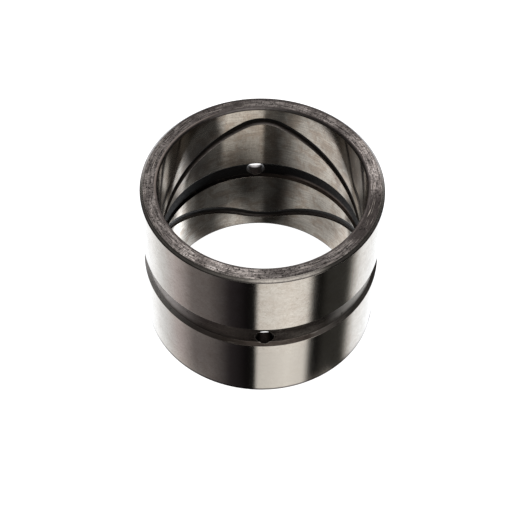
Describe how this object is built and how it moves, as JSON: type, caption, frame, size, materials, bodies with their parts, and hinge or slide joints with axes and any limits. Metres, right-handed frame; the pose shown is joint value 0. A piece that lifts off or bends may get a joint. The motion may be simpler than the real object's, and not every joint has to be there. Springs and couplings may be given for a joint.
{
  "type": "pin bushing",
  "caption": "Plain cylindrical steel bushing, chamfered outside and rounded at the bore's edges, with a ring groove round the outside, radial oil holes and crossing grease grooves in its bore.",
  "frame": {"origin": "centre of the bore, at the lower end face", "axes": "+Z along the bore's axis to the upper end; the two oil holes lie along Y"},
  "size_m": [0.105, 0.105, 0.081],
  "materials": {
    "steel": "ground outside and bore, darker turned ends and groove floors"
  },
  "bodies": {
    "root": {"bushing": "steel"}
  },
  "joints": []
}
